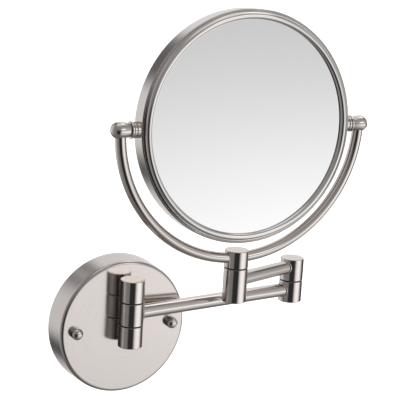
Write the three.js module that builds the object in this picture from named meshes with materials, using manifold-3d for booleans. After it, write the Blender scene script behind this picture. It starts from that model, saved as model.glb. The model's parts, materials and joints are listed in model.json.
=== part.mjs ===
// Extendable wall-mounted shaving mirror: a round wall rosette, two swinging arms, a half-round bow
// and a two-sided mirror head that tilts between the bow's ends.
// Millimetres. Origin: centre of the wall bracket's back face. +X right, +Y into the wall, +Z up.
import * as THREE from 'three';
import { mergeVertices } from 'three/addons/utils/BufferGeometryUtils.js';
import Module from 'manifold-3d';

// ---- Driving dimensions ----
const GAP = 0.3; // clearance between neighbouring pieces
const DEG = Math.PI / 180;

const ROSETTE = { faceRadius: 60, rimRadius: 61.1, depth: 25.4, wall: 1.4, edge: 3 };
const BRACKET = { radius: 54, thickness: 2.5, slotAt: 30, slotWidth: 5.5, slotLength: 12 };
const STIFFENER = { width: 26, bottom: -13, top: 48, thickness: 2 };
const STUD = { spacing: 92.4, radius: 2, footRadius: 4, footThickness: 1, length: 27.9 };
const DOME_NUT = { radius: 5.1, length: 7.5, boreRadius: 2.3, boreDepth: 5.6 };

const POST_RADIUS = 10.9;
const POST_EDGE = 0.6; // chamfer on the posts' ends
const SPLIT = 1.1; // height of a seam between two sections of a post
const WASHER = { radius: 10.2, thickness: 0.5 };
const PIN = { radius: 3, bushWall: 0.9 };
const PLUG = { radius: 6.2, length: 2.5 };
const TOP_SKIN = 3; // metal left above a pin's blind bore

const WALL_POST = { y: -38.9, bottom: -12.7, lowerSeam: 7.1, upperSeam: 28, top: 47.8 };
const STANDOFF = { radius: 4.4, heights: [-3, 38] };
const STANDOFF_SCREW = { radius: 2.2, depth: 7, headRadius: 4.2, headHeight: 2.6 };

const ARM = { radius: 6.3, bore: 5, spigotRadius: 4.6, spigotLength: 9 };
const BEAD = { radius: 7.3, length: 1.3 }; // brazing bead round an arm's end, following the post
const LOWER_ARM = { length: 176.3, angle: 5.1, height: 17.3 };
const UPPER_ARM = { length: 80.3, angle: -163, height: 39.8 };
const ELBOW_POST = { bottom: 6.1, seam: 26.7, top: 47.9 };
const BOW_POST = { bottom: 20.4, seam: 52.1, top: 68.1 };
const STEM = { radius: 4, bottom: 27.9, screwRadius: 1.8, screwTop: 38.9, headRadius: 6.2, headHeight: 1.8 };

const BOW = { radius: 118.4, tubeRadius: 4.9, angle: -2.4, pivotHeight: 179.4, endDrop: 3.6 };
// Along the pivot axis, measured out from the middle of the mirror head.
const FINIAL = { centre: 120, radius: 7.4, innerRadius: 5.9, innerEnd: 110.4 };
const FLANGE = { radius: 7.5, inner: 108.3, outer: 110.1 };
const BOSS = { radius: 7, grooveRadius: 5.6, grooveInner: 105.2, grooveOuter: 105.9, outer: 108 };
const PIVOT = { radius: 2, inner: 95.5, outer: 117.6, nutRadius: 4, nutInner: 96, nutOuter: 99.6 };

const HEAD_TILT = 2.3; // the plain glass faces this much upwards
const HEAD = { radius: 102.6, innerRadius: 101.2, halfDepth: 8.15, slopeDrop: 0.45, corner: 0.45 };
// A bezel's section, outwards from the glass: a half-round bead, then a land sloping to the band.
// Heights are measured from the mirror head's mid-plane.
const BEZEL = {
  bead: { centre: 96.6, height: 8.1, radius: 3.1, lastTurn: 75 },
  land: { from: 99.95, fromHeight: 8.75, to: 100.9, toHeight: 8.3 },
  rebateRadius: 98,
  lipBack: 8,
  back: 5.8,
};
const GLASS = { radius: 97.6, from: -7.7, to: -5.2 };
const MAGNIFIER = { thickness: 2, curveRadius: 900, rings: 4 };
const PARTITION = { radius: 94.5, from: -3.1, to: -1.9 };
const FRONT_PAD = { radius: 88, from: -4.9, to: -3.4 };
const BACK_PAD = { radius: 40, from: -1.6, to: 0 };
const HOOP = { innerRadius: 99.9, outerRadius: 100.9, halfWidth: 5.5 };

const SMALL = 12; // facets round a pin, screw, bush or the bow's tube
const ROUND = 24; // facets round a post or an arm
const RING = 40; // facets round the rosette and the mirror head
const BOW_STEPS = 32;

// ---- Finishes ----
const finish = (color, roughness, metalness) => ({ color, roughness, metalness });
const NICKEL = finish(0xcdc4be, 0.32, 1);
const STEEL = finish(0xa9aaab, 0.4, 1);
const NYLON = finish(0x2a2826, 0.6, 0);
const MIRROR = finish(0xe9eceb, 0.02, 1);
const FOAM = finish(0x3b3b3d, 0.9, 0);

// ---- Solids ----
const wasm = await Module();
wasm.setup();

// A closed three.js geometry as a solid with its faces pointing out.
function solid(geometry) {
  const bare = geometry.index ? geometry.toNonIndexed() : geometry.clone();
  bare.deleteAttribute('normal');
  bare.deleteAttribute('uv');
  const merged = mergeVertices(bare, 1e-3);
  const vertProperties = merged.attributes.position.array;
  const triVerts = new Uint32Array(merged.index.array);
  const made = new wasm.Manifold(new wasm.Mesh({ numProp: 3, vertProperties, triVerts }));
  if (made.volume() >= 0) return made;
  for (let i = 0; i < triVerts.length; i += 3) {
    [triVerts[i + 1], triVerts[i + 2]] = [triVerts[i + 2], triVerts[i + 1]];
  }
  return new wasm.Manifold(new wasm.Mesh({ numProp: 3, vertProperties, triVerts }));
}

function geometryOf(manifold) {
  const { vertProperties, triVerts } = manifold.getMesh();
  const geometry = new THREE.BufferGeometry();
  geometry.setAttribute('position', new THREE.BufferAttribute(vertProperties, 3));
  geometry.setIndex(new THREE.BufferAttribute(triVerts, 1));
  return geometry;
}

function cut(body, ...tools) {
  return tools.reduce((left, tool) => left.subtract(tool), body);
}

// Direction in which a turned solid's own axis points.
const TURN = {
  x: (geometry) => geometry.rotateZ(-90 * DEG),
  y: (geometry) => geometry,
  z: (geometry) => geometry.rotateX(90 * DEG),
};

// A solid of revolution about the named axis, from [radius, distance along the axis] points.
function turned(axis, profile, facets = ROUND) {
  const points = profile.map(([radius, along]) => new THREE.Vector2(radius, along));
  return solid(TURN[axis](new THREE.LatheGeometry(points, facets)));
}

function rod(axis, radius, from, to, facets = ROUND) {
  return turned(axis, [[0, from], [radius, from], [radius, to], [0, to]], facets);
}

function sleeve(axis, inner, outer, from, to, facets = ROUND) {
  return turned(axis, [[inner, from], [outer, from], [outer, to], [inner, to], [inner, from]], facets);
}

// A rod with chamfered ends.
function chamferedRod(axis, radius, from, to, chamfer) {
  return turned(axis, [
    [0, from],
    [radius - chamfer, from],
    [radius, from + chamfer],
    [radius, to - chamfer],
    [radius - chamfer, to],
    [0, to],
  ]);
}

// An outline in the X-Z plane, made solid from y = back towards -Y.
function plate(shape, back, thickness) {
  const geometry = new THREE.ExtrudeGeometry(shape, {
    depth: thickness,
    bevelEnabled: false,
    curveSegments: SMALL,
  });
  return solid(geometry.rotateX(90 * DEG).translate(0, back, 0));
}

function moved(manifold, x, y, z) {
  return manifold.translate([x, y, z]);
}

// ---- Scene graph ----
const root = new THREE.Group();

function add(group, name, manifold, look) {
  const mesh = new THREE.Mesh(geometryOf(manifold), new THREE.MeshStandardMaterial(look));
  mesh.name = name;
  group.add(mesh);
}

// A group whose +Z is vertical, placed at a post and turned about it.
function turnedGroup(parent, x, y, angle) {
  const group = new THREE.Group();
  group.position.set(x, y, 0);
  group.rotation.z = angle * DEG;
  parent.add(group);
  return group;
}

// ---- Rosette and wall bracket ----
function obround(x, z, width, length) {
  const straight = (length - width) / 2;
  const hole = new THREE.Path();
  hole.absarc(x, z + straight, width / 2, 0, Math.PI);
  hole.absarc(x, z - straight, width / 2, Math.PI, 2 * Math.PI);
  hole.closePath();
  return hole;
}

function makeBracket() {
  const disc = new THREE.Shape();
  disc.absarc(0, 0, BRACKET.radius, 0, 2 * Math.PI);
  for (const side of [-1, 1]) {
    disc.holes.push(obround(0, side * BRACKET.slotAt, BRACKET.slotWidth, BRACKET.slotLength));
    disc.holes.push(obround(side * BRACKET.slotAt, 0, BRACKET.slotWidth, BRACKET.slotLength));
  }
  return plate(disc, 0, BRACKET.thickness);
}

function makeRosette() {
  const { faceRadius, rimRadius, depth, wall, edge } = ROSETTE;
  const shell = turned('y', [
    [0, -depth],
    [faceRadius - edge, -depth],
    [faceRadius - edge * 0.3, -depth + edge * 0.3],
    [faceRadius, -depth + edge],
    [rimRadius, 0],
    [rimRadius - wall, 0],
    [faceRadius - wall, -depth + edge],
    [faceRadius - wall - edge, -depth + wall],
    [0, -depth + wall],
  ], RING);
  const studHoles = [-1, 1].map((side) =>
    moved(rod('y', STUD.radius + GAP, -depth - 1, -depth + wall + 1, SMALL), side * STUD.spacing / 2, 0, 0));
  return cut(shell, ...studHoles, ...standoffHoles(-depth - 1, -depth + wall + 1));
}

function standoffHoles(from, to) {
  return STANDOFF.heights.map((z) => moved(rod('y', STANDOFF_SCREW.radius + GAP, from, to, SMALL), 0, 0, z));
}

function makeStiffener() {
  const { width, bottom, top, thickness } = STIFFENER;
  const bar = new THREE.Shape();
  bar.absarc(0, top - width / 2, width / 2, 0, Math.PI);
  bar.absarc(0, bottom + width / 2, width / 2, Math.PI, 2 * Math.PI);
  bar.closePath();
  const back = -ROSETTE.depth + ROSETTE.wall + GAP + thickness;
  return cut(plate(bar, back, thickness), ...standoffHoles(-ROSETTE.depth, back + 1));
}

function makeStud(side) {
  const foot = -BRACKET.thickness - GAP;
  const stud = turned('y', [
    [0, foot],
    [STUD.footRadius, foot],
    [STUD.footRadius, foot - STUD.footThickness],
    [STUD.radius, foot - STUD.footThickness],
    [STUD.radius, foot - STUD.length],
    [0, foot - STUD.length],
  ], SMALL);
  return moved(stud, side * STUD.spacing / 2, 0, 0);
}

function makeDomeNut(side) {
  const { radius, length, boreRadius, boreDepth } = DOME_NUT;
  const base = -ROSETTE.depth - GAP;
  const dome = [25, 50, 75].map((turn) =>
    [radius * Math.cos(turn * DEG), base - length + radius * 0.6 * (1 - Math.sin(turn * DEG))]);
  const nut = turned('y', [
    [boreRadius, base],
    [radius, base],
    [radius, base - length + radius * 0.6],
    ...dome,
    [0, base - length],
    [0, base - boreDepth],
    [boreRadius, base - boreDepth],
    [boreRadius, base],
  ], SMALL);
  return moved(nut, side * STUD.spacing / 2, 0, 0);
}

function makeStandoffScrew(z) {
  const { radius, depth, headRadius, headHeight } = STANDOFF_SCREW;
  const seat = -ROSETTE.depth + ROSETTE.wall + 2 * GAP + STIFFENER.thickness;
  const tip = -ROSETTE.depth - depth;
  const screw = turned('y', [
    [0, tip],
    [radius, tip],
    [radius, seat],
    [headRadius, seat],
    [headRadius, seat + headHeight * 0.6],
    [headRadius * 0.6, seat + headHeight],
    [0, seat + headHeight],
  ], SMALL);
  return moved(screw, 0, 0, z);
}

const SIDES = { left: -1, right: 1 };

add(root, 'wall_bracket', makeBracket(), STEEL);
add(root, 'rosette', makeRosette(), NICKEL);
add(root, 'rosette_stiffener', makeStiffener(), STEEL);
for (const [name, side] of Object.entries(SIDES)) {
  add(root, `bracket_stud_${name}`, makeStud(side), STEEL);
  add(root, `dome_nut_${name}`, makeDomeNut(side), NICKEL);
}
add(root, 'standoff_screw_lower', makeStandoffScrew(STANDOFF.heights[0]), STEEL);
add(root, 'standoff_screw_upper', makeStandoffScrew(STANDOFF.heights[1]), STEEL);

// ---- Posts ----
// A post's pin runs from just above the bottom plug to just below the top skin.
const pinBottom = (post) => post.bottom + PLUG.length + 2 * GAP;
const pinTop = (post) => post.top - TOP_SKIN;
const makePin = (post) => rod('z', PIN.radius, pinBottom(post), pinTop(post) - GAP, SMALL);
const makePlug = (post) => rod('z', PLUG.radius, post.bottom + GAP, post.bottom + GAP + PLUG.length);
const makeWasher = (seam, shaft = PIN.radius) =>
  sleeve('z', shaft + GAP, WASHER.radius, seam - WASHER.thickness / 2, seam + WASHER.thickness / 2);
const makeBush = (from, to, inner = PIN.radius + GAP) =>
  sleeve('z', inner, inner + PIN.bushWall, from + 1, to - 1, SMALL);

const above = (seam) => seam + SPLIT / 2;
const below = (seam) => seam - SPLIT / 2;
const FIXED_BORE = PIN.radius + GAP; // bore of a section that the pin is fixed in
const BUSHED_BORE = FIXED_BORE + PIN.bushWall + GAP; // bore of a section that turns on a bush

// The bottom section of a post: a through bore, with a counterbore for the plug.
function bottomSection(post, top, bore) {
  const body = chamferedRod('z', POST_RADIUS, post.bottom, top, POST_EDGE);
  const plugHole = rod('z', PLUG.radius + GAP, post.bottom - 1, post.bottom + PLUG.length + 2 * GAP);
  return cut(body, rod('z', bore, post.bottom + 1, top + 1, SMALL), plugHole);
}

// The top section of a post: a blind bore, closed above.
function topSection(post, bottom, bore) {
  const body = chamferedRod('z', POST_RADIUS, bottom, post.top, POST_EDGE);
  return cut(body, rod('z', bore, bottom - 1, pinTop(post), SMALL));
}

// Spigot that an arm's tube slides over, standing out of a post along +X.
function withSpigot(section, height) {
  const tip = POST_RADIUS + ARM.spigotLength;
  const spigot = moved(rod('x', ARM.spigotRadius, POST_RADIUS * 0.7, tip, SMALL), 0, 0, height);
  return section.add(spigot);
}

// Standoff that joins a section of the wall post to the rosette's face, tapped for its screw.
function withStandoff(section, height) {
  const length = -WALL_POST.y - ROSETTE.depth - GAP;
  const tapped = -WALL_POST.y - ROSETTE.depth - STANDOFF_SCREW.depth - GAP;
  const standoff = moved(rod('y', STANDOFF.radius, POST_RADIUS * 0.7, length, SMALL), 0, 0, height);
  const hole = moved(rod('y', STANDOFF_SCREW.radius + GAP, tapped, length + 1, SMALL), 0, 0, height);
  return section.add(standoff).subtract(hole);
}

// ---- Wall post, fixed sections ----
const wallPost = turnedGroup(root, 0, WALL_POST.y, 0);
const [standoffLow, standoffHigh] = STANDOFF.heights;
const wallTop = topSection(WALL_POST, above(WALL_POST.upperSeam), FIXED_BORE);
const wallBottom = bottomSection(WALL_POST, below(WALL_POST.lowerSeam), FIXED_BORE);
add(wallPost, 'wall_post_top', withStandoff(wallTop, standoffHigh), NICKEL);
add(wallPost, 'wall_post_bottom', withStandoff(wallBottom, standoffLow), NICKEL);
add(wallPost, 'wall_post_pin', makePin(WALL_POST), STEEL);
add(wallPost, 'wall_post_plug', makePlug(WALL_POST), NICKEL);
add(wallPost, 'wall_washer_upper', makeWasher(WALL_POST.upperSeam), NYLON);
add(wallPost, 'wall_washer_lower', makeWasher(WALL_POST.lowerSeam), NYLON);

// ---- Arms ----
// Tube between two posts, in the frame of the first post with the second along +X.
const postClearance = (height, x) => moved(rod('z', POST_RADIUS + GAP, -20, 20), x, 0, height);

function makeArmTube(arm) {
  const tube = moved(sleeve('x', ARM.bore, ARM.radius, 0, arm.length), 0, 0, arm.height);
  return cut(tube, postClearance(arm.height, 0), postClearance(arm.height, arm.length));
}

// Brazing bead between an arm's end and the post, saddle-shaped to the post.
function makeArmBead(arm, x, direction) {
  const far = POST_RADIUS + BEAD.length;
  const ends = direction > 0 ? [0, far] : [-far, 0];
  const ring = moved(sleeve('x', ARM.radius + GAP, BEAD.radius, ...ends), x, 0, arm.height);
  const saddle = moved(rod('z', far, -20, 20), x, 0, arm.height);
  return cut(ring.intersect(saddle), postClearance(arm.height, x));
}

const lowerArm = turnedGroup(root, 0, WALL_POST.y, LOWER_ARM.angle);
const knuckleBottom = above(WALL_POST.lowerSeam);
const knuckleTop = below(WALL_POST.upperSeam);
const knuckleRod = chamferedRod('z', POST_RADIUS, knuckleBottom, knuckleTop, POST_EDGE / 2);
const wallKnuckle = withSpigot(knuckleRod, LOWER_ARM.height)
  .subtract(rod('z', BUSHED_BORE, knuckleBottom - 1, knuckleTop + 1, SMALL));
add(lowerArm, 'wall_knuckle', wallKnuckle, NICKEL);
add(lowerArm, 'wall_bush', makeBush(knuckleBottom, knuckleTop), NYLON);
add(lowerArm, 'lower_arm_tube', makeArmTube(LOWER_ARM), NICKEL);
add(lowerArm, 'lower_arm_bead_wall', makeArmBead(LOWER_ARM, 0, 1), NICKEL);
add(lowerArm, 'lower_arm_bead_elbow', makeArmBead(LOWER_ARM, LOWER_ARM.length, -1), NICKEL);

// The elbow's lower section faces back along the lower arm.
const elbowLower = turnedGroup(lowerArm, LOWER_ARM.length, 0, 180);
const elbowBase = bottomSection(ELBOW_POST, below(ELBOW_POST.seam), FIXED_BORE);
const elbowBored = cut(withSpigot(elbowBase, LOWER_ARM.height),
  rod('z', FIXED_BORE, ELBOW_POST.bottom + 1, ELBOW_POST.seam, SMALL));
add(elbowLower, 'elbow_lower_section', elbowBored, NICKEL);
add(elbowLower, 'elbow_pin', makePin(ELBOW_POST), STEEL);
add(elbowLower, 'elbow_plug', makePlug(ELBOW_POST), NICKEL);
add(elbowLower, 'elbow_washer', makeWasher(ELBOW_POST.seam), NYLON);

const elbowX = LOWER_ARM.length * Math.cos(LOWER_ARM.angle * DEG);
const elbowY = WALL_POST.y + LOWER_ARM.length * Math.sin(LOWER_ARM.angle * DEG);
const upperArm = turnedGroup(root, elbowX, elbowY, UPPER_ARM.angle);
const elbowCap = withSpigot(topSection(ELBOW_POST, above(ELBOW_POST.seam), BUSHED_BORE), UPPER_ARM.height);
const elbowCapBored = cut(elbowCap, rod('z', BUSHED_BORE, ELBOW_POST.seam, pinTop(ELBOW_POST), SMALL));
add(upperArm, 'elbow_upper_section', elbowCapBored, NICKEL);
add(upperArm, 'elbow_bush', makeBush(above(ELBOW_POST.seam), pinTop(ELBOW_POST)), NYLON);
add(upperArm, 'upper_arm_tube', makeArmTube(UPPER_ARM), NICKEL);
add(upperArm, 'upper_arm_bead_elbow', makeArmBead(UPPER_ARM, 0, 1), NICKEL);
add(upperArm, 'upper_arm_bead_barrel', makeArmBead(UPPER_ARM, UPPER_ARM.length, -1), NICKEL);

// The barrel carries the bow's stem in a bush; its wide lower bore takes the stem's retaining screw.
const STEM_BORE = STEM.radius + 2 * GAP + PIN.bushWall;

function makeBarrel() {
  const post = chamferedRod('z', POST_RADIUS, BOW_POST.bottom, below(BOW_POST.seam), POST_EDGE);
  const stemBore = rod('z', STEM_BORE, BOW_POST.bottom, BOW_POST.seam, SMALL);
  const screwBore = rod('z', PLUG.radius + GAP, BOW_POST.bottom - 1, STEM.bottom);
  return cut(withSpigot(post, UPPER_ARM.height), stemBore, screwBore);
}

const barrelGroup = turnedGroup(upperArm, UPPER_ARM.length, 0, 180);
add(barrelGroup, 'swivel_barrel', makeBarrel(), NICKEL);
const stemBush = makeBush(STEM.bottom, below(BOW_POST.seam), STEM.radius + GAP);
add(barrelGroup, 'swivel_bush', stemBush, NYLON);
add(barrelGroup, 'swivel_plug', makePlug(BOW_POST), NICKEL);
add(barrelGroup, 'swivel_washer', makeWasher(BOW_POST.seam, STEM.radius), NYLON);

// ---- Bow ----
const bowX = elbowX + UPPER_ARM.length * Math.cos(UPPER_ARM.angle * DEG);
const bowY = elbowY + UPPER_ARM.length * Math.sin(UPPER_ARM.angle * DEG);
const bow = turnedGroup(root, bowX, bowY, BOW.angle);

// The lower half of a circle in the X-Z plane, ending a little below the pivot axis.
class BowLine extends THREE.Curve {
  constructor(endDrop) {
    super();
    this.endTurn = Math.asin(endDrop / BOW.radius);
  }

  getPoint(t, target = new THREE.Vector3()) {
    const turn = Math.PI + this.endTurn + t * (Math.PI - 2 * this.endTurn);
    return target.set(BOW.radius * Math.cos(turn), 0, BOW.pivotHeight + BOW.radius * Math.sin(turn));
  }
}

function bowTube(radius, endDrop) {
  const section = new THREE.Shape();
  section.absarc(0, 0, radius, 0, 2 * Math.PI);
  const extrudePath = new BowLine(endDrop);
  const options = { steps: BOW_STEPS, curveSegments: SMALL / 2, extrudePath };
  return solid(new THREE.ExtrudeGeometry(section, options));
}

const bowSocket = bowTube(BOW.tubeRadius + GAP, BOW.endDrop - GAP);

// The hub and its stem are one turned piece, cross-bored for the bow.
function makeHub() {
  const hub = chamferedRod('z', POST_RADIUS, above(BOW_POST.seam), BOW_POST.top, POST_EDGE);
  const stem = rod('z', STEM.radius, STEM.bottom, BOW_POST.seam + 2, SMALL);
  const screwHole = rod('z', STEM.screwRadius + GAP, STEM.bottom - 1, STEM.screwTop + GAP, SMALL);
  return cut(hub.add(stem), bowSocket, screwHole);
}

function makeStemScrew() {
  const { screwRadius, screwTop, headRadius, headHeight } = STEM;
  const seat = STEM.bottom - GAP;
  return turned('z', [
    [0, seat - headHeight],
    [headRadius, seat - headHeight],
    [headRadius, seat],
    [screwRadius, seat],
    [screwRadius, screwTop],
    [0, screwTop],
  ], SMALL);
}

// A point of a quarter round: turn 0 is the widest place, turn 90 the tip on the axis.
const quarterRound = (radius, centre, turn) =>
  [radius * Math.cos(turn * DEG), centre + radius * Math.sin(turn * DEG)];

// An egg: it swells from the inner end to its widest place, and ends in a quarter round.
function makeFinial(side) {
  const { centre, radius, innerRadius, innerEnd } = FINIAL;
  const swell = [0, 0.2, 0.4, 0.6, 0.8].map((part) => [
    innerRadius + (radius - innerRadius) * Math.sin(90 * part * DEG),
    innerEnd + (centre - innerEnd) * part,
  ]);
  const profile = [
    [0, innerEnd],
    ...swell,
    ...[0, 18, 36, 54, 72, 90].map((turn) => quarterRound(radius, centre, turn)),
  ];
  profile.at(-1)[0] = 0;
  const bulb = turned('x', profile.map(([r, along]) => [r, side * along]));
  const pinHole = rod('x', PIVOT.radius + GAP, side * (innerEnd - 1), side * (PIVOT.outer + GAP), SMALL);
  return cut(moved(bulb, 0, 0, BOW.pivotHeight), moved(pinHole, 0, 0, BOW.pivotHeight), bowSocket);
}

function atPivot(manifold) {
  return moved(manifold, 0, 0, BOW.pivotHeight);
}

function makeNut(side) {
  const { radius, nutRadius, nutInner, nutOuter } = PIVOT;
  const hexagon = rod('x', nutRadius, side * nutInner, side * nutOuter, 6);
  return cut(hexagon, rod('x', radius + GAP, side * (nutInner - 1), side * (nutOuter + 1), SMALL));
}

add(bow, 'bow_hub', makeHub(), NICKEL);
add(bow, 'bow_stem_screw', makeStemScrew(), STEEL);
add(bow, 'bow_tube', bowTube(BOW.tubeRadius, BOW.endDrop), NICKEL);
for (const [name, side] of Object.entries(SIDES)) {
  const flange = sleeve('x', PIVOT.radius + GAP, FLANGE.radius, side * FLANGE.inner, side * FLANGE.outer);
  const pin = rod('x', PIVOT.radius, side * PIVOT.inner, side * PIVOT.outer, SMALL);
  add(bow, `finial_${name}`, makeFinial(side), NICKEL);
  add(bow, `friction_flange_${name}`, atPivot(flange), NICKEL);
  add(bow, `pivot_pin_${name}`, atPivot(pin), STEEL);
  add(bow, `pivot_nut_${name}`, atPivot(makeNut(side)), STEEL);
}

// ---- Mirror head ----
const head = new THREE.Group();
head.position.set(0, 0, BOW.pivotHeight);
head.rotation.x = -HEAD_TILT * DEG;
bow.add(head);

const pinHoles = rod('x', PIVOT.radius + GAP, -HEAD.radius - 10, HEAD.radius + 10, SMALL);

function makeBand() {
  const { radius, innerRadius, halfDepth, slopeDrop, corner } = HEAD;
  const edge = [[innerRadius, 0], [radius - corner, slopeDrop], [radius, slopeDrop + corner]];
  const front = edge.map(([r, inset]) => [r, -halfDepth + inset]);
  const back = edge.map(([r, inset]) => [r, halfDepth - inset]).reverse();
  return cut(turned('y', [...front, ...back, front[0]], RING), pinHoles);
}

// A bezel ring; facing is -1 on the plain side and 1 on the magnifying side.
function makeBezel(facing) {
  const { bead, land, rebateRadius, lipBack, back } = BEZEL;
  const arc = [-90, -60, -30, 0, 30, 55, bead.lastTurn].map((turn) => [
    bead.centre + bead.radius * Math.sin(turn * DEG),
    bead.height + bead.radius * Math.cos(turn * DEG),
  ]);
  const section = [
    [arc[0][0], lipBack],
    ...arc,
    [land.from, land.fromHeight],
    [land.to, land.toHeight],
    [land.to, back],
    [rebateRadius, back],
    [rebateRadius, lipBack],
    [arc[0][0], lipBack],
  ];
  return turned('y', section.map(([r, height]) => [r, facing * height]), RING);
}

// The magnifying mirror is a bowl of even thickness, hollow towards the back.
function makeMagnifier() {
  const steps = [...Array(MAGNIFIER.rings + 1).keys()].map((i) => (i * GLASS.radius) / MAGNIFIER.rings);
  const sag = (r) => (GLASS.radius ** 2 - r ** 2) / (2 * MAGNIFIER.curveRadius);
  const hollow = steps.map((r) => [r, -GLASS.from - sag(r)]);
  const bulging = steps.map((r) => [r, -GLASS.from - MAGNIFIER.thickness - sag(r)]);
  return turned('y', [...bulging, ...hollow.reverse()], RING);
}

// Twin-collared boss, shaped at its inner end to the band that it is fixed on.
function makeBoss(side) {
  const { radius, grooveRadius, grooveInner, grooveOuter, outer } = BOSS;
  const bore = PIVOT.radius + GAP;
  const base = HEAD.radius - 3;
  const boss = turned('x', [
    [bore, base],
    [radius, base],
    [radius, grooveInner - 0.3],
    [grooveRadius, grooveInner],
    [grooveRadius, grooveOuter],
    [radius, grooveOuter + 0.3],
    [radius, outer - 0.4],
    [radius - 0.4, outer],
    [bore, outer],
    [bore, base],
  ].map(([r, along]) => [r, side * along]));
  return cut(boss, rod('y', HEAD.radius + GAP, -20, 20, RING));
}

function disc({ radius, from, to }, facets = ROUND) {
  return rod('y', radius, from, to, facets);
}

add(head, 'housing_band', makeBand(), NICKEL);
add(head, 'front_bezel', makeBezel(-1), NICKEL);
add(head, 'back_bezel', makeBezel(1), NICKEL);
add(head, 'plain_mirror', disc(GLASS, RING), MIRROR);
add(head, 'magnifying_mirror', makeMagnifier(), MIRROR);
add(head, 'partition', disc(PARTITION), STEEL);
add(head, 'front_pad', disc(FRONT_PAD), FOAM);
add(head, 'back_pad', disc(BACK_PAD), FOAM);
const hoop = sleeve('y', HOOP.innerRadius, HOOP.outerRadius, -HOOP.halfWidth, HOOP.halfWidth, RING);
add(head, 'spacer_hoop', cut(hoop, pinHoles), STEEL);
for (const [name, side] of Object.entries(SIDES)) {
  add(head, `pivot_boss_${name}`, makeBoss(side), NICKEL);
}

export default root;
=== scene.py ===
import json
import math

import bmesh
import bpy
from mathutils import Matrix, Vector


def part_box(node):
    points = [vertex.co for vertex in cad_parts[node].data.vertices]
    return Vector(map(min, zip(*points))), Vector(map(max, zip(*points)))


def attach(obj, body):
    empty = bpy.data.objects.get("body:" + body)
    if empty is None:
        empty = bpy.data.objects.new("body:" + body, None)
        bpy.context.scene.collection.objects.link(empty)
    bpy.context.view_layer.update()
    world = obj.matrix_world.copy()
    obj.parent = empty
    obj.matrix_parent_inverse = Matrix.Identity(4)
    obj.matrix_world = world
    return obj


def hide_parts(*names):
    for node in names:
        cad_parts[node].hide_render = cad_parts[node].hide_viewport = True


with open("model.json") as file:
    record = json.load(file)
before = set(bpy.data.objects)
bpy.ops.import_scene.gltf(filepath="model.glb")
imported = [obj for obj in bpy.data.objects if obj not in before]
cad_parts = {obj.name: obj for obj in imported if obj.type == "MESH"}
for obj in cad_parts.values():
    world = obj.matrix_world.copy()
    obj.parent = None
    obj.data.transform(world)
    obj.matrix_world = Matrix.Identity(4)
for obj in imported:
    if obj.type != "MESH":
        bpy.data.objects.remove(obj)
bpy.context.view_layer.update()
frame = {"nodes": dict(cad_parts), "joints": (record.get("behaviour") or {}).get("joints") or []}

# ---- Driving dimensions ----
ROSETTE_FACE, ROSETTE_RIM = 0.060, 0.0611
ROSETTE_DEPTH, ROSETTE_WALL, ROSETTE_EDGE = 0.0254, 0.0014, 0.003
BRACKET_RADIUS, BRACKET_THICKNESS = 0.054, 0.0025
SLOT_AT, SLOT_WIDTH, SLOT_LENGTH = 0.030, 0.0055, 0.012
NUT_SPACING, NUT_RADIUS, NUT_LENGTH, NUT_DOME = 0.0924, 0.0051, 0.0078, 0.0036
STANDOFF_RADIUS, STANDOFF_HEIGHTS = 0.0044, (-0.003, 0.038)

POST_RADIUS, POST_EDGE, SEAM_EDGE = 0.0109, 0.00055, 0.00025
PIN_BORE, BUSHED_BORE, STEM_BORE = 0.0033, 0.0045, 0.0055
TOP_SKIN = 0.003
PLUG_RADIUS, PLUG_BORE, PLUG_DEPTH = 0.0062, 0.0065, 0.0031
WASHER_RADIUS, WASHER_EDGE, WASHER_CLEARANCE = 0.0102, 0.0001, 0.0003
STEM_RADIUS, STEM_FOOT = 0.004, 0.0279
SEAM = 0.0011  # height of the gap that a washer fills

ARM_RADIUS, ARM_BORE = 0.0063, 0.005
ARM_START = 0.8 * POST_RADIUS  # an arm tube begins inside the post
BRAZE_BEAD = 0.0009

BOW_RADIUS, BOW_TUBE, BOW_END_DROP = 0.1184, 0.0049, 0.0036
FINIAL_RADIUS, FINIAL_INNER_RADIUS = 0.0074, 0.0059
FINIAL_INNER, FINIAL_CENTRE = 0.1104, 0.11999
FLANGE_RADIUS, FLANGE_INNER, FLANGE_OUTER = 0.0075, 0.1083, 0.1101
BOSS_RADIUS, BOSS_GROOVE, BOSS_OUTER = 0.007, 0.0056, 0.108
BOSS_GROOVE_FROM, BOSS_GROOVE_TO, GROOVE_FLARE = 0.1052, 0.1059, 0.0001
BOSS_INNER = 0.1020  # just inside the band's surface

HEAD_TILT = math.radians(2.3)
BAND_RADIUS, BAND_INNER = 0.1026, 0.1012
BAND_HALF_DEPTH, BAND_SLOPE, BAND_CORNER = 0.00815, 0.00045, 0.00045
BEAD_CENTRE, BEAD_HEIGHT, BEAD_RADIUS = 0.0966, 0.0081, 0.00309  # the bezel's half-round bead
BEAD_LAST_TURN = 78
LAND_INNER, LAND_OUTER, LAND_HIGH, LAND_LOW = 0.0998, 0.1010, 0.0088, 0.00825
LIP_BACK, BEZEL_BACK, REBATE_RADIUS = 0.0080, 0.0058, 0.0980
PIN_CLEARANCE = 0.0023
GLASS_RADIUS, GLASS_FRONT, GLASS_BACK = 0.0976, 0.0077, 0.0052
MAGNIFIER_CURVE, MAGNIFIER_THICKNESS = 0.900, 0.002

BRUSH_STRETCH = 0.012  # the pattern is squeezed by this along the brushed lines, so they come out long
CHORD, FINE_CHORD, NUT_CHORD = 0.0011, 0.0007, 0.0005  # longest facet round a turned piece
LEAST_FACETS, MOST_FACETS = 32, 288
TUBE_FACETS, BOW_STEPS = 48, 120
ARC_STEP = math.radians(15)
SHARP_EDGE = math.radians(32)
ROUNDED, EASED, FINELY_EASED = 0.0004, 0.0003, 0.0002  # small roundings of turned edges

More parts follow.
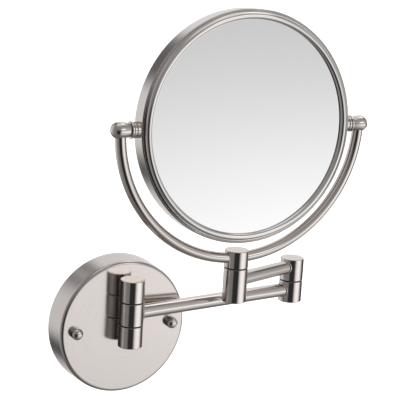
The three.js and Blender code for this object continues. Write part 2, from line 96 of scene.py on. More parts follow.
joints = {joint["name"]: joint for joint in frame["joints"]}
WALL_AXIS = Vector(joints["wall_swivel"]["pos_m"])
ELBOW_AXIS = Vector(joints["elbow_swivel"]["pos_m"])
BOW_AXIS = Vector(joints["bow_swivel"]["pos_m"])
TILT_CENTRE = Vector(joints["mirror_tilt"]["pos_m"])
TILT_AXIS = Vector(joints["mirror_tilt"]["axis"]).normalized()
UP = Vector((0, 0, 1))


# ---- Placing ----
def placed(origin, axis, side):
    """Matrix whose local Z is axis and whose local X is as near to side as it can be."""
    z = axis.normalized()
    x = (side - side.dot(z) * z).normalized()
    y = z.cross(x)
    turn = Matrix((x, y, z)).transposed().to_4x4()
    return Matrix.Translation(origin) @ turn


def upright(axis_point):
    return placed(Vector((axis_point.x, axis_point.y, 0)), UP, Vector((1, 0, 0)))


def from_wall(x, z):
    """Local Z runs straight out of the wall."""
    return placed(Vector((x, 0, z)), Vector((0, -1, 0)), Vector((1, 0, 0)))


def along_pivot(side):
    return placed(TILT_CENTRE, TILT_AXIS * side, UP)


BOW_FRONT = TILT_AXIS.cross(UP)
HEAD_FRONT = Matrix.Rotation(-HEAD_TILT, 3, TILT_AXIS) @ BOW_FRONT


def in_head(facing):
    """Local Z is the way one glass faces: 1 for the plain side, -1 for the magnifying side."""
    return placed(TILT_CENTRE, HEAD_FRONT * facing, TILT_AXIS)


# ---- Shapes ----
def rounded(corners, closed):
    """Outline points from (radius, along, fillet) corners, with a holding point beside each fillet."""
    points = []
    for i, (radius, along, fillet) in enumerate(corners):
        here = Vector((radius, along))
        if not fillet or (not closed and i in (0, len(corners) - 1)):
            points.append(here)
            continue
        before = Vector(corners[i - 1][:2]) - here
        after = Vector(corners[(i + 1) % len(corners)][:2]) - here
        half = before.angle(after) / 2
        reach = min(fillet / math.tan(half), 0.45 * before.length, 0.45 * after.length)
        size = reach * math.tan(half)
        centre = here + (before.normalized() + after.normalized()).normalized() * size / math.sin(half)
        start = here + before.normalized() * reach - centre
        end = here + after.normalized() * reach - centre
        first = math.atan2(start.y, start.x)
        sweep = math.remainder(math.atan2(end.y, end.x) - first, math.tau)
        steps = max(2, math.ceil(abs(sweep) / ARC_STEP))
        points.append(here + before.normalized() * reach * 1.1)
        for step in range(steps + 1):
            turn = first + sweep * step / steps
            points.append(centre + size * Vector((math.cos(turn), math.sin(turn))))
        points.append(here + after.normalized() * reach * 1.1)
    return points


def new_shape():
    shape = bmesh.new()
    shape.verts.layers.float_vector.new("grain")
    shape.loops.layers.uv.new("turning")
    return shape


def add_grid(shape, rings, grains, uvs, closed_rings, closed_columns):
    """Skins a grid of points with quads; a ring that has shrunk to a point becomes a fan."""
    grain = shape.verts.layers.float_vector["grain"]
    turning = shape.loops.layers.uv["turning"]
    grid = []
    for ring, ring_grain in zip(rings, grains):
        row = [shape.verts.new(point) for point in ring]
        for vert, value in zip(row, ring_grain):
            vert[grain] = value
        grid.append(row)
    count = len(grid[0])
    for i in range(len(grid) if closed_columns else len(grid) - 1):
        above = (i + 1) % len(grid)
        for j in range(count if closed_rings else count - 1):
            beside = (j + 1) % count
            face = shape.faces.new((grid[i][j], grid[i][beside], grid[above][beside], grid[above][j]))
            places = (uvs(i, j), uvs(i, j + 1), uvs(i + 1, j + 1), uvs(i + 1, j))
            for loop, place in zip(face.loops, places):
                loop[turning].uv = place
    bmesh.ops.remove_doubles(shape, verts=[v for row in (grid[0], grid[-1]) for v in row], dist=1e-8)


def add_turned(shape, place, corners, closed=False, lengthwise=False, chord=CHORD):
    """Turns an outline round local Z. Brushing runs round the piece, or lengthwise."""
    outline = rounded([(*corner, 0)[:3] for corner in corners], closed)
    widest = max(point.x for point in outline)
    facets = min(MOST_FACETS, max(LEAST_FACETS, 4 * round(math.tau * widest / chord / 4)))
    lengths = [0]
    for here, there in zip(outline, outline[1:] + outline[:1]):
        lengths.append(lengths[-1] + (there - here).length)
    turns = [math.tau * j / facets for j in range(facets)]
    rings, grains = [], []
    for point, length in zip(outline, lengths):
        ring = [Vector((point.x * math.cos(turn), point.x * math.sin(turn), point.y)) for turn in turns]
        rings.append([place @ corner for corner in ring])
        if lengthwise:
            grains.append([(c.x, c.y, length * BRUSH_STRETCH) for c in ring])
        else:
            grains.append([(c.x * BRUSH_STRETCH, c.y * BRUSH_STRETCH, length) for c in ring])

    def uvs(i, j):
        return (j / facets, lengths[i])

    add_grid(shape, rings, grains, uvs, True, closed)


def add_bent_tube(shape, place, bend_radius, tube_radius, first, last, steps):
    """A tube along an arc in the local X-Z plane, closed by a flat cap at each end."""
    rings, grains = [], []
    stations = [(first + (last - first) * k / steps, tube_radius) for k in range(steps + 1)]
    stations = [(first, 0), *stations, (last, 0)]
    for bend, radius in stations:
        out = Vector((math.cos(bend), 0, math.sin(bend)))
        ring, ring_grain = [], []
        for j in range(TUBE_FACETS):
            turn = math.tau * j / TUBE_FACETS
            spoke = radius * math.cos(turn) * out + radius * math.sin(turn) * Vector((0, 1, 0))
            ring.append(place @ (bend_radius * out + spoke))
            ring_grain.append((tube_radius * math.cos(turn), tube_radius * math.sin(turn),
                               bend * bend_radius * BRUSH_STRETCH))
        rings.append(ring)
        grains.append(ring_grain)

    def uvs(i, j):
        return (j / TUBE_FACETS, stations[min(i, len(stations) - 1)][0] * bend_radius)

    add_grid(shape, rings, grains, uvs, True, False)


def finish_piece(shape, name, body, material, slot, *replaced):
    bmesh.ops.recalc_face_normals(shape, faces=shape.faces)
    mesh = bpy.data.meshes.new(name)
    shape.to_mesh(mesh)
    shape.free()
    mesh.shade_smooth()
    mesh.set_sharp_from_angle(angle=SHARP_EDGE)
    mesh.materials.append(material)
    piece = bpy.data.objects.new(name, mesh)
    bpy.context.scene.collection.objects.link(piece)
    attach(piece, body)
    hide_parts(*(replaced or (name.removesuffix(".finished"),)))
    return piece


# ---- Materials ----
BRUSH_LINES, BRUSH_DEPTH, BRUSH_STRENGTH = 2600, 0.00001, 0.35
BRUSH_TURN = 0.25  # a quarter turn: highlights stretch across the brushed lines
PLATING_DEPTH, PLATING_STRENGTH = 0.0001, 0.2
MOULDED_STRENGTH = 0.5


def add_node(tree, kind, inputs=None, **settings):
    node = tree.nodes.new(kind)
    for key, value in settings.items():
        setattr(node, key, value)
    for key, value in (inputs or {}).items():
        if isinstance(value, bpy.types.NodeSocket):
            tree.links.new(value, node.inputs[key])
        else:
            node.inputs[key].default_value = value
    return node


def new_material(name):
    material = bpy.data.materials.new(name)
    material.use_nodes = True
    tree = material.node_tree
    return material, tree, tree.nodes["Principled BSDF"]


def blend_of(tree, factor, low, high):
    """A colour between two, by a 0 to 1 factor."""
    mix = add_node(tree, "ShaderNodeMix", data_type="RGBA")
    tree.links.new(factor, mix.inputs["Factor"])
    mix.inputs["A"].default_value = (*low, 1)
    mix.inputs["B"].default_value = (*high, 1)
    return mix.outputs["Result"]


def ranged(tree, value, low, high):
    node = add_node(tree, "ShaderNodeMapRange", {"Value": value, "To Min": low, "To Max": high})
    return node.outputs["Result"]


def brushed_metal(name, low, high, roughness, anisotropy, streaks=420):
    """Metal with fine brushed lines: the grain attribute is long along the lines and short across them."""
    material, tree, shader = new_material(name)
    grain = add_node(tree, "ShaderNodeAttribute", attribute_name="grain").outputs["Vector"]
    fine = add_node(tree, "ShaderNodeTexNoise", {"Vector": grain, "Scale": BRUSH_LINES, "Detail": 3})
    broad = add_node(tree, "ShaderNodeTexNoise", {"Vector": grain, "Scale": streaks, "Detail": 3})
    tree.links.new(blend_of(tree, broad.outputs["Fac"], low, high), shader.inputs["Base Color"])
    tree.links.new(ranged(tree, fine.outputs["Fac"], *roughness), shader.inputs["Roughness"])
    bump = add_node(tree, "ShaderNodeBump",
                    {"Height": fine.outputs["Fac"], "Strength": BRUSH_STRENGTH, "Distance": BRUSH_DEPTH})
    tree.links.new(bump.outputs["Normal"], shader.inputs["Normal"])
    tangent = add_node(tree, "ShaderNodeTangent", direction_type="UV_MAP", uv_map="turning")
    tree.links.new(tangent.outputs["Tangent"], shader.inputs["Tangent"])
    shader.inputs["Metallic"].default_value = 1
    shader.inputs["Anisotropic"].default_value = anisotropy
    shader.inputs["Anisotropic Rotation"].default_value = BRUSH_TURN
    return material


def plated_steel(name):
    """Zinc-plated steel with its faint crystal spangle."""
    material, tree, shader = new_material(name)
    place = add_node(tree, "ShaderNodeTexCoord").outputs["Object"]
    spangle = add_node(tree, "ShaderNodeTexVoronoi", {"Vector": place, "Scale": 260})
    haze = add_node(tree, "ShaderNodeTexNoise", {"Vector": place, "Scale": 700, "Detail": 3})
    colour = blend_of(tree, spangle.outputs["Distance"], (0.50, 0.51, 0.52), (0.62, 0.63, 0.64))
    tree.links.new(colour, shader.inputs["Base Color"])
    tree.links.new(ranged(tree, haze.outputs["Fac"], 0.28, 0.46), shader.inputs["Roughness"])
    bump = add_node(tree, "ShaderNodeBump",
                    {"Height": haze.outputs["Fac"], "Strength": PLATING_STRENGTH, "Distance": PLATING_DEPTH})
    tree.links.new(bump.outputs["Normal"], shader.inputs["Normal"])
    shader.inputs["Metallic"].default_value = 1
    return material


def silvered_glass(name):
    """Silvered float glass with a barely visible haze, as a wiped mirror has."""
    material, tree, shader = new_material(name)
    place = add_node(tree, "ShaderNodeTexCoord").outputs["Object"]
    haze = add_node(tree, "ShaderNodeTexNoise", {"Vector": place, "Scale": 35, "Detail": 2})
    colour = blend_of(tree, haze.outputs["Fac"], (0.92, 0.922, 0.922), (0.932, 0.934, 0.934))
    tree.links.new(colour, shader.inputs["Base Color"])
    tree.links.new(ranged(tree, haze.outputs["Fac"], 0.0, 0.03), shader.inputs["Roughness"])
    shader.inputs["Metallic"].default_value = 1
    return material


def moulded(name, low, high, roughness, grain_scale, grain_depth):
    """Dark moulded nylon, or foam with open cells."""
    material, tree, shader = new_material(name)
    place = add_node(tree, "ShaderNodeTexCoord").outputs["Object"]
    cells = add_node(tree, "ShaderNodeTexNoise", {"Vector": place, "Scale": grain_scale, "Detail": 3})
    tree.links.new(blend_of(tree, cells.outputs["Fac"], low, high), shader.inputs["Base Color"])
    tree.links.new(ranged(tree, cells.outputs["Fac"], *roughness), shader.inputs["Roughness"])
    bump = add_node(tree, "ShaderNodeBump",
                    {"Height": cells.outputs["Fac"], "Strength": MOULDED_STRENGTH, "Distance": grain_depth})
    tree.links.new(bump.outputs["Normal"], shader.inputs["Normal"])
    return material


NICKEL_LOW, NICKEL_HIGH = (0.68, 0.625, 0.595), (0.84, 0.785, 0.755)
BRIGHT_LOW, BRIGHT_HIGH = (0.80, 0.765, 0.74), (0.97, 0.935, 0.91)
FACE_LOW, FACE_HIGH = (0.645, 0.595, 0.57), (0.71, 0.66, 0.635)
NICKEL = brushed_metal("brushed_nickel", NICKEL_LOW, NICKEL_HIGH, (0.08, 0.15), 0.5)
FACE_NICKEL = brushed_metal("spun_nickel", FACE_LOW, FACE_HIGH, (0.12, 0.20), 0.6, streaks=1500)
TUBE_NICKEL = brushed_metal("drawn_nickel", NICKEL_LOW, NICKEL_HIGH, (0.03, 0.08), 0.3)
BEZEL_NICKEL = brushed_metal("bright_nickel", BRIGHT_LOW, BRIGHT_HIGH, (0.03, 0.08), 0.3)
STEEL = plated_steel("zinc_steel")
NYLON = moulded("nylon", (0.020, 0.019, 0.018), (0.032, 0.030, 0.029), (0.45, 0.6), 2500, 0.00005)
FOAM = moulded("foam", (0.035, 0.035, 0.037), (0.06, 0.06, 0.062), (0.85, 0.95), 1800, 0.0004)
GLASS = silvered_glass("mirror_glass")


# ---- Rosette and bracket ----
def make_rosette():
    shape = new_shape()
    add_turned(shape, from_wall(0, 0), [
        (0, ROSETTE_DEPTH),
        (ROSETTE_FACE, ROSETTE_DEPTH, ROSETTE_EDGE),
        (ROSETTE_RIM, 0, EASED),
        (ROSETTE_RIM - ROSETTE_WALL, 0, EASED),
        (ROSETTE_FACE - ROSETTE_WALL, ROSETTE_DEPTH - ROSETTE_WALL, ROSETTE_EDGE / 2),
        (0, ROSETTE_DEPTH - ROSETTE_WALL),
    ])
    finish_piece(shape, "rosette.finished", "wall_mount", FACE_NICKEL, "brushed_nickel")


def make_dome_nut(name, side):
    base = ROSETTE_DEPTH
    shoulder = base + NUT_LENGTH - NUT_DOME
    turns = [math.radians(turn) for turn in range(8, 90, 8)]
    dome = [(NUT_RADIUS * math.cos(turn), shoulder + NUT_DOME * math.sin(turn)) for turn in turns]
    shape = new_shape()
    add_turned(shape, from_wall(side * NUT_SPACING / 2, 0), [
        (0, base),
        (NUT_RADIUS, base, EASED),
        (NUT_RADIUS, shoulder),
        *dome,
        (0, base + NUT_LENGTH),
    ], chord=NUT_CHORD)
    finish_piece(shape, f"dome_nut_{name}.finished", "wall_mount", NICKEL, "brushed_nickel")


def obround(curve, x, z):
    """A slot with round ends as a closed spline of the curve."""
    half = (SLOT_LENGTH - SLOT_WIDTH) / 2
    steps = 12
    points = []
    for end, start in ((1, 0), (-1, math.pi)):
        for step in range(steps + 1):
            turn = start + math.pi * step / steps
            across, along = SLOT_WIDTH / 2 * math.cos(turn), SLOT_WIDTH / 2 * math.sin(turn)
            points.append((x + across, z + end * half + along))
    add_outline(curve, points)


def add_outline(curve, points):
    spline = curve.splines.new("POLY")
    spline.points.add(len(points) - 1)
    for target, (x, z) in zip(spline.points, points):
        target.co = (x, z, 0, 1)
    spline.use_cyclic_u = True


def make_bracket():
    """The plate that is screwed to the wall: a disc with four slots for the wall screws."""
    curve = bpy.data.curves.new("wall_bracket.outline", "CURVE")
    curve.dimensions = "2D"
    curve.fill_mode = "BOTH"
    curve.extrude = BRACKET_THICKNESS / 2 - EASED
    curve.bevel_depth = EASED
    curve.bevel_resolution = 2
    curve.offset = -EASED
    around = 144
    turns = [math.tau * k / around for k in range(around)]
    add_outline(curve, [(BRACKET_RADIUS * math.cos(t), BRACKET_RADIUS * math.sin(t)) for t in turns])
    for side in (-1, 1):
        obround(curve, side * SLOT_AT, 0)
        obround(curve, 0, side * SLOT_AT)
    source = bpy.data.objects.new("wall_bracket.outline", curve)
    mesh = bpy.data.meshes.new_from_object(source)
    bpy.data.objects.remove(source)
    stand = Matrix.Translation((0, -BRACKET_THICKNESS / 2, 0)) @ Matrix.Rotation(math.pi / 2, 4, "X")
    mesh.transform(stand)
    shape = new_shape()
    shape.from_mesh(mesh)
    bmesh.ops.remove_doubles(shape, verts=shape.verts, dist=1e-6)
    plate = finish_piece(shape, "wall_bracket.finished", "wall_mount", STEEL, "zinc_steel")
    for face in plate.data.polygons:
        face.use_smooth = abs(face.normal.y) < 0.99


# ---- Posts ----
def add_bottom_section(shape, place, bottom, top, bore):
    add_turned(shape, place, [
        (bore, top, FINELY_EASED),
        (POST_RADIUS, top, SEAM_EDGE),
        (POST_RADIUS, bottom, POST_EDGE),
        (PLUG_BORE, bottom, FINELY_EASED),
        (PLUG_BORE, bottom + PLUG_DEPTH),
        (bore, bottom + PLUG_DEPTH),
    ], closed=True)


def add_top_section(shape, place, bottom, top, bore, stem_foot=None):
    """Closed above; a blind bore below, or a stem where a foot height is given."""
    inner = [(bore, bottom, FINELY_EASED), (bore, top - TOP_SKIN), (0, top - TOP_SKIN)]
    if stem_foot is not None:
        inner = [(STEM_RADIUS, bottom, FINELY_EASED), (STEM_RADIUS, stem_foot, EASED), (0, stem_foot)]
    add_turned(shape, place, [
        (0, top),
        (POST_RADIUS, top, POST_EDGE),
        (POST_RADIUS, bottom, SEAM_EDGE),
        *inner,
    ])


def add_sleeve(shape, place, inner, outer, low, high, edge, lengthwise=False):
    add_turned(shape, place, [(inner, low), (outer, low, edge), (outer, high, edge), (inner, high)],
               closed=True, lengthwise=lengthwise)


def add_standoff(shape, height):
    add_turned(shape, from_wall(0, height), [
        (0, ROSETTE_DEPTH),
        (STANDOFF_RADIUS, ROSETTE_DEPTH, EASED),
        (STANDOFF_RADIUS, -WALL_AXIS.y - POST_RADIUS / 2),
        (0, -WALL_AXIS.y - POST_RADIUS / 2),
    ], lengthwise=True)


def heights(node):
    low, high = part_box(node)
    return low.z, high.z


def make_plug(name, axis_point, body):
    low, high = heights(name)
    shape = new_shape()
    outline = [(0, low), (PLUG_RADIUS, low, ROUNDED), (PLUG_RADIUS, high), (0, high)]
    add_turned(shape, upright(axis_point), outline)
    finish_piece(shape, f"{name}.finished", body, NICKEL, "brushed_nickel")


def make_washer(name, axis_point, body, bore):
    low, high = heights(name)
    shape = new_shape()
    add_sleeve(shape, upright(axis_point), bore, WASHER_RADIUS, low, high, WASHER_EDGE)
    finish_piece(shape, f"{name}.finished", body, NYLON, "nylon")


def make_wall_post():
    place = upright(WALL_AXIS)
    bottom, top = heights("wall_post_bottom")
    shape = new_shape()
    add_bottom_section(shape, place, bottom, top, PIN_BORE)
    add_standoff(shape, STANDOFF_HEIGHTS[0])
    finish_piece(shape, "wall_post_bottom.finished", "wall_mount", NICKEL, "brushed_nickel")
    bottom, top = heights("wall_post_top")
    shape = new_shape()
    add_top_section(shape, place, bottom, top, PIN_BORE)
    add_standoff(shape, STANDOFF_HEIGHTS[1])
    finish_piece(shape, "wall_post_top.finished", "wall_mount", NICKEL, "brushed_nickel")


def make_wall_knuckle():
    shape = new_shape()
    add_sleeve(shape, upright(WALL_AXIS), BUSHED_BORE, POST_RADIUS, *heights("wall_knuckle"), SEAM_EDGE)
    finish_piece(shape, "wall_knuckle.finished", "lower_arm", NICKEL, "brushed_nickel")


def make_elbow():
    place = upright(ELBOW_AXIS)
    shape = new_shape()
    add_bottom_section(shape, place, *heights("elbow_lower_section"), PIN_BORE)
    finish_piece(shape, "elbow_lower_section.finished", "lower_arm", NICKEL, "brushed_nickel")
    shape = new_shape()
    add_top_section(shape, place, *heights("elbow_upper_section"), BUSHED_BORE)
    finish_piece(shape, "elbow_upper_section.finished", "upper_arm", NICKEL, "brushed_nickel")


def make_barrel():
    bottom, top = heights("swivel_barrel")
    shape = new_shape()
    add_turned(shape, upright(BOW_AXIS), [
        (STEM_BORE, top, FINELY_EASED),
        (POST_RADIUS, top, SEAM_EDGE),
        (POST_RADIUS, bottom, POST_EDGE),
        (PLUG_BORE, bottom, FINELY_EASED),
        (PLUG_BORE, STEM_FOOT),
        (STEM_BORE, STEM_FOOT),
    ], closed=True)
    finish_piece(shape, "swivel_barrel.finished", "upper_arm", NICKEL, "brushed_nickel")


# ---- Arms ----
def arm_line(node, start, end):
    """Matrix at the start post at the arm's height, with local Z towards the end post; and the length."""
    low, high = heights(node)
    height = Vector((0, 0, (low + high) / 2))
    first = Vector((start.x, start.y, 0)) + height
    run = Vector((end.x - start.x, end.y - start.y, 0))
    return placed(first, run, UP), run.length


def make_arm(name, start, end, body):
    place, length = arm_line(f"{name}_tube", start, end)
    shape = new_shape()
    add_sleeve(shape, place, ARM_BORE, ARM_RADIUS, ARM_START, length - ARM_START, 0, lengthwise=True)
    finish_piece(shape, f"{name}_tube.finished", body, TUBE_NICKEL, "brushed_nickel")


def saddle_point(turn):
    """Where the arm's surface meets the post's, for a turn round the arm; local X is up, Z along the arm."""
    up, across = ARM_RADIUS * math.cos(turn), ARM_RADIUS * math.sin(turn)
    return Vector((up, across, math.sqrt(POST_RADIUS ** 2 - across ** 2)))


def make_bead(node, start, end, body):
    """A round brazing bead that follows the post, where an arm meets the post at the start of the line."""
    place, _ = arm_line(node, start, end)
    around, facets, nudge = 96, 16, 0.01
    rings, grains = [], []
    for step in range(around):
        turn = math.tau * step / around
        centre = saddle_point(turn)
        run = (saddle_point(turn + nudge) - saddle_point(turn - nudge)).normalized()
        out = Vector((math.cos(turn), math.sin(turn), 0))
        out = (out - out.dot(run) * run).normalized()
        side = run.cross(out)
        spokes = [math.tau * j / facets for j in range(facets)]
        offsets = [BRAZE_BEAD * (math.cos(t) * out + math.sin(t) * side) for t in spokes]
        rings.append([place @ (centre + offset) for offset in offsets])
        grains.append([offset + centre * BRUSH_STRETCH for offset in offsets])
    shape = new_shape()
    add_grid(shape, rings, grains, lambda i, j: (j / facets, i / around), True, True)
    finish_piece(shape, f"{node}.finished", body, NICKEL, "brushed_nickel")


# ---- Bow ----
def make_hub():
    bottom = heights("swivel_barrel")[1] + SEAM
    top = heights("bow_hub")[1]
    shape = new_shape()
    add_top_section(shape, upright(BOW_AXIS), bottom, top, 0, stem_foot=STEM_FOOT)
    finish_piece(shape, "bow_hub.finished", "bow", NICKEL, "brushed_nickel")


def make_bow_tube():
    turn = Matrix((TILT_AXIS, UP.cross(TILT_AXIS), UP)).transposed().to_4x4()
    place = Matrix.Translation(TILT_CENTRE) @ turn
    end = math.asin(BOW_END_DROP / BOW_RADIUS)
    shape = new_shape()
    add_bent_tube(shape, place, BOW_RADIUS, BOW_TUBE, math.pi + end, math.tau - end, BOW_STEPS)
    finish_piece(shape, "bow_tube.finished", "bow", TUBE_NICKEL, "brushed_nickel")


def make_finial(name, side):
    """An egg: it swells from its inner end to its widest place, and ends in a quarter round."""
    steps = 14
    swell = []
    for step in range(1, steps):
        part = step / steps
        rise = math.sin(math.radians(90) * part)
        swell.append((FINIAL_INNER_RADIUS + (FINIAL_RADIUS - FINIAL_INNER_RADIUS) * rise,
                      FINIAL_INNER + (FINIAL_CENTRE - FINIAL_INNER) * part))
    turns = [math.radians(turn) for turn in range(0, 90, 6)]
    round_end = [(FINIAL_RADIUS * math.cos(turn), FINIAL_CENTRE + FINIAL_RADIUS * math.sin(turn))
                 for turn in turns]
    shape = new_shape()
    add_turned(shape, along_pivot(side), [
        (0, FINIAL_INNER),
        (FINIAL_INNER_RADIUS, FINIAL_INNER, EASED),
        *swell,
        *round_end,
        (0, FINIAL_CENTRE + FINIAL_RADIUS),
    ], chord=FINE_CHORD)
    finish_piece(shape, f"finial_{name}.finished", "bow", NICKEL, "brushed_nickel")


def make_flange(name, side):
    shape = new_shape()
    add_sleeve(shape, along_pivot(side), PIN_CLEARANCE, FLANGE_RADIUS, FLANGE_INNER, FLANGE_OUTER, ROUNDED)
    finish_piece(shape, f"friction_flange_{name}.finished", "bow", NICKEL, "brushed_nickel")


# ---- Mirror head ----
def make_boss(name, side):
    shape = new_shape()
    add_turned(shape, along_pivot(side), [
        (PIN_CLEARANCE, BOSS_INNER),
        (BOSS_RADIUS, BOSS_INNER),
        (BOSS_RADIUS, BOSS_GROOVE_FROM, EASED),
        (BOSS_GROOVE, BOSS_GROOVE_FROM + GROOVE_FLARE),
        (BOSS_GROOVE, BOSS_GROOVE_TO - GROOVE_FLARE),
        (BOSS_RADIUS, BOSS_GROOVE_TO, EASED),
        (BOSS_RADIUS, BOSS_OUTER, ROUNDED),
        (PIN_CLEARANCE, BOSS_OUTER),
    ], closed=True, chord=FINE_CHORD)
    finish_piece(shape, f"pivot_boss_{name}.finished", "mirror_head", NICKEL, "brushed_nickel")


def make_band():
    """The rim's outer band: its edges slope away from the bezels and are rounded at the corner."""
    corner = BAND_HALF_DEPTH - BAND_SLOPE - BAND_CORNER
    front = [
        (BAND_INNER, BAND_HALF_DEPTH, FINELY_EASED),
        (BAND_RADIUS - BAND_CORNER, BAND_HALF_DEPTH - BAND_SLOPE, EASED),
        (BAND_RADIUS, corner, EASED),
    ]
    back = [(radius, -height, fillet) for radius, height, fillet in reversed(front)]
    shape = new_shape()
    add_turned(shape, in_head(1), [*front, *back], closed=True)
    finish_piece(shape, "housing_band.finished", "mirror_head", NICKEL, "brushed_nickel")


def make_bezel(name, facing):
    """A turned ring: a half-round bead over the edge of the glass, then a land that slopes to the band."""
    turns = [math.radians(turn) for turn in range(-90, BEAD_LAST_TURN + 1, 8)]
    bead = [(BEAD_CENTRE + BEAD_RADIUS * math.sin(turn), BEAD_HEIGHT + BEAD_RADIUS * math.cos(turn))
            for turn in turns]
    shape = new_shape()
    add_turned(shape, in_head(facing), [
        (BEAD_CENTRE - BEAD_RADIUS, LIP_BACK),
        *bead,
        (LAND_INNER, LAND_HIGH),
        (LAND_OUTER, LAND_LOW),
        (LAND_OUTER, BEZEL_BACK),
        (REBATE_RADIUS, BEZEL_BACK),
        (REBATE_RADIUS, LIP_BACK),
    ], closed=True)
    finish_piece(shape, f"{name}.finished", "mirror_head", BEZEL_NICKEL, "brushed_nickel")


def make_plain_mirror():
    shape = new_shape()
    add_turned(shape, in_head(1), [
        (0, GLASS_FRONT),
        (GLASS_RADIUS, GLASS_FRONT, FINELY_EASED),
        (GLASS_RADIUS, GLASS_BACK, FINELY_EASED),
        (0, GLASS_BACK),
    ])
    finish_piece(shape, "plain_mirror.finished", "mirror_head", GLASS, "mirror_glass")


def make_magnifying_mirror():
    """A shallow bowl of even thickness, deepest in the middle."""
    steps = 24
    radii = [GLASS_RADIUS * step / steps for step in range(steps + 1)]

    def height(radius):
        return GLASS_FRONT - (GLASS_RADIUS ** 2 - radius ** 2) / (2 * MAGNIFIER_CURVE)

    front = [(radius, height(radius)) for radius in radii]
    back = [(radius, height(radius) - MAGNIFIER_THICKNESS) for radius in reversed(radii)]
    shape = new_shape()
    add_turned(shape, in_head(-1), [*front, *back])
    finish_piece(shape, "magnifying_mirror.finished", "mirror_head", GLASS, "mirror_glass")


# ---- Build ----
SIDES = {"left": -1, "right": 1}

make_rosette()
make_bracket()
make_wall_post()
make_wall_knuckle()
make_elbow()
make_barrel()
make_plug("wall_post_plug", WALL_AXIS, "wall_mount")
make_plug("elbow_plug", ELBOW_AXIS, "lower_arm")
make_plug("swivel_plug", BOW_AXIS, "upper_arm")
make_washer("wall_washer_upper", WALL_AXIS, "wall_mount", PIN_BORE)
make_washer("wall_washer_lower", WALL_AXIS, "wall_mount", PIN_BORE)
make_washer("elbow_washer", ELBOW_AXIS, "lower_arm", PIN_BORE)
make_washer("swivel_washer", BOW_AXIS, "upper_arm", STEM_RADIUS + WASHER_CLEARANCE)
make_arm("lower_arm", WALL_AXIS, ELBOW_AXIS, "lower_arm")
make_bead("lower_arm_bead_wall", WALL_AXIS, ELBOW_AXIS, "lower_arm")
make_bead("lower_arm_bead_elbow", ELBOW_AXIS, WALL_AXIS, "lower_arm")
make_arm("upper_arm", ELBOW_AXIS, BOW_AXIS, "upper_arm")
make_bead("upper_arm_bead_elbow", ELBOW_AXIS, BOW_AXIS, "upper_arm")
make_bead("upper_arm_bead_barrel", BOW_AXIS, ELBOW_AXIS, "upper_arm")
make_hub()
make_bow_tube()
make_band()
make_bezel("front_bezel", 1)
make_bezel("back_bezel", -1)
make_plain_mirror()
make_magnifying_mirror()
for side_name, side_sign in SIDES.items():
    make_dome_nut(side_name, side_sign)
    make_finial(side_name, side_sign)
    make_flange(side_name, side_sign)
    make_boss(side_name, side_sign)

# Pieces kept from the frame, inside the posts, the rosette and the head.
FINISHES = {
    STEEL: ("rosette_stiffener", "bracket_stud_left", "bracket_stud_right", "standoff_screw_lower",
            "standoff_screw_upper", "wall_post_pin", "elbow_pin", "bow_stem_screw", "pivot_pin_left",
            "pivot_pin_right", "pivot_nut_left", "pivot_nut_right", "partition", "spacer_hoop"),
    NYLON: ("wall_bush", "elbow_bush", "swivel_bush"),
    FOAM: ("front_pad", "back_pad"),
}
for finish, nodes in FINISHES.items():
    for node in nodes:
        slots = frame["nodes"][node].data.materials
        slots.clear()
        slots.append(finish)


# ---- Studio ----
FLOOR_DROP = 1.5
ROOM_RADIUS, ROOM_BEND, ROOM_CHORD = 9.0, 2.0, 0.5


def make_room():
    """A pale floor that rises into a round backdrop; only the camera sees it."""
    shape = new_shape()
    add_turned(shape, Matrix.Translation((0, 0, -FLOOR_DROP)), [
        (0, 0),
        (ROOM_RADIUS, 0, ROOM_BEND),
        (ROOM_RADIUS, 2 * ROOM_RADIUS, ROOM_BEND),
        (0, 2 * ROOM_RADIUS),
    ], chord=ROOM_CHORD)
    bmesh.ops.recalc_face_normals(shape, faces=shape.faces)
    mesh = bpy.data.meshes.new("studio_room")
    shape.to_mesh(mesh)
    shape.free()
    mesh.shade_smooth()
    room = bpy.data.objects.new("studio_room", mesh)
    bpy.context.scene.collection.objects.link(room)
    material, tree, shader = new_material("pale_floor")
    shader.inputs["Base Color"].default_value = (0.9, 0.9, 0.9, 1)
    shader.inputs["Emission Color"].default_value = (1, 1, 1, 1)
    shader.inputs["Emission Strength"].default_value = 1.0
    shader.inputs["Roughness"].default_value = 1
    mesh.materials.append(material)
    room.visible_glossy = False
    room.visible_diffuse = False
    room.visible_shadow = False


# Soft panels round the object, each laid over the ones before it. Angles are in degrees.
PANELS = [
    # azimuth, elevation, half width, half height, softness, light
    (0, 90, 400, 24, 0.4, 0.75),       # ceiling
    (0, -90, 400, 42, 0.3, 0.15),      # floor
    (-20, 42, 34, 9, 0.6, 0.10),       # dark upper front
    (14, 58, 26, 8, 0.6, 1.50),        # strip light overhead
    (125, 8, 25, 34, 0.4, 0.76),       # backdrop on the left
    (115, 52, 26, 11, 0.6, 0.12),      # gap above the backdrop
    (104, -31, 11, 10, 0.7, 0.08),     # gap below the backdrop
    (175, -2, 20, 26, 0.5, 0.40),      # side wall on the left
    (70, -20, 22, 14, 0.5, 0.75),      # foot of the back light
    (52, 22, 36, 34, 0.3, 0.84),       # back light
    (103, 21, 13, 10, 0.6, 0.14),      # gap between the backdrop and the back light
    (20, -32, 30, 9, 0.5, 0.55),       # pale floor on the right
    (-147, -6, 34, 40, 0.3, 0.22),     # grey room behind the camera
    (-50, 0, 34, 48, 0.7, 0.46),       # front-right soft box: fall-off
    (-50, -20, 28, 24, 0.6, 0.70),     # front-right soft box: lower half
    (-50, -15, 22, 8, 0.9, 1.22),      # front-right soft box: hot band
    (-115, -20, 26, 28, 0.35, 0.03),   # black flag beside the camera
    (-64, 18, 10, 6, 0.4, 1.60),       # small lamp over the camera
    (18, -17, 27, 8, 0.5, 0.07),       # black flag on the right
]
AMBIENT = 0.28


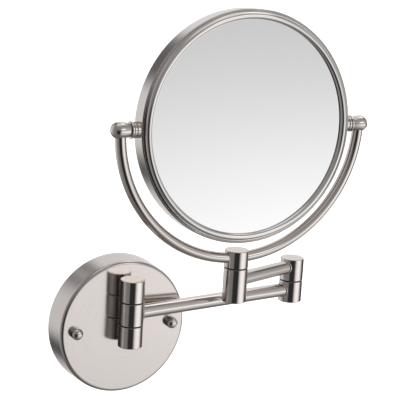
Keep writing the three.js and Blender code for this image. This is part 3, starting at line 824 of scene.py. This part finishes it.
def panel_window(tree, azimuth, height, panel):
    """1 inside the panel and 0 outside it, with a soft edge."""
    centre, middle, half_width, half_height, softness, _ = panel
    offset = add_node(tree, "ShaderNodeMath", {0: azimuth, 1: math.radians(centre)}, operation="SUBTRACT")
    wrapped = add_node(tree, "ShaderNodeMath", {0: offset.outputs[0], 1: math.pi, 2: -math.pi},
                       operation="WRAP")
    across = add_node(tree, "ShaderNodeMath", {0: wrapped.outputs[0]}, operation="ABSOLUTE")
    lift = add_node(tree, "ShaderNodeMath", {0: height, 1: math.radians(middle)}, operation="SUBTRACT")
    up_down = add_node(tree, "ShaderNodeMath", {0: lift.outputs[0]}, operation="ABSOLUTE")
    edges = []
    for distance, half in ((across, half_width), (up_down, half_height)):
        size = math.radians(half)
        edges.append(add_node(tree, "ShaderNodeMapRange", {
            "Value": distance.outputs[0],
            "From Min": size * (1 + softness),
            "From Max": size * (1 - softness),
            "To Min": 0.0,
            "To Max": 1.0,
        }, interpolation_type="SMOOTHSTEP"))
    both = add_node(tree, "ShaderNodeMath", {0: edges[0].outputs[0], 1: edges[1].outputs[0]},
                    operation="MULTIPLY")
    return both.outputs[0]


def make_light():
    """Light comes from soft panels all round, as in a product studio; between them it is AMBIENT."""
    world = bpy.data.worlds.new("studio_light")
    world.use_nodes = True
    bpy.context.scene.world = world
    tree = world.node_tree
    direction = add_node(tree, "ShaderNodeTexCoord").outputs["Generated"]
    parts = add_node(tree, "ShaderNodeSeparateXYZ", {"Vector": direction})
    azimuth = add_node(tree, "ShaderNodeMath", {0: parts.outputs["Y"], 1: parts.outputs["X"]},
                       operation="ARCTAN2")
    height = add_node(tree, "ShaderNodeMath", {0: parts.outputs["Z"]}, operation="ARCSINE")
    light = add_node(tree, "ShaderNodeValue").outputs[0]
    light.default_value = AMBIENT
    for panel in PANELS:
        window = panel_window(tree, azimuth.outputs[0], height.outputs[0], panel)
        mix = add_node(tree, "ShaderNodeMix", data_type="FLOAT")
        tree.links.new(window, mix.inputs["Factor"])
        tree.links.new(light, mix.inputs["A"])
        mix.inputs["B"].default_value = panel[-1]
        light = mix.outputs["Result"]
    background = tree.nodes["Background"]
    background.inputs["Color"].default_value = (1, 1, 1, 1)
    tree.links.new(light, background.inputs["Strength"])


# ---- Camera ----
LOOK_AT = Vector((0.0473, -0.0645, 0.12085))
CAMERA_AZIMUTH, CAMERA_ELEVATION, CAMERA_ROLL = map(math.radians, (-30.25, 12.88, 3.33))
CAMERA_DISTANCE = 1.073
LENS, SENSOR = 113.4, 36.0


def make_camera():
    data = bpy.data.cameras.new("camera")
    data.lens = LENS
    data.sensor_width = SENSOR
    camera = bpy.data.objects.new("camera", data)
    bpy.context.scene.collection.objects.link(camera)
    back = Vector((math.sin(CAMERA_AZIMUTH) * math.cos(CAMERA_ELEVATION),
                   -math.cos(CAMERA_AZIMUTH) * math.cos(CAMERA_ELEVATION),
                   math.sin(CAMERA_ELEVATION)))
    right = Vector((math.cos(CAMERA_AZIMUTH), math.sin(CAMERA_AZIMUTH), 0))
    up = back.cross(right)
    leaned_right = right * math.cos(CAMERA_ROLL) + up * math.sin(CAMERA_ROLL)
    leaned_up = up * math.cos(CAMERA_ROLL) - right * math.sin(CAMERA_ROLL)
    turn = Matrix((leaned_right, leaned_up, back)).transposed().to_4x4()
    camera.matrix_world = Matrix.Translation(LOOK_AT + back * CAMERA_DISTANCE) @ turn
    bpy.context.scene.camera = camera


make_room()
make_light()
make_camera()
bpy.context.scene.view_settings.view_transform = "Standard"
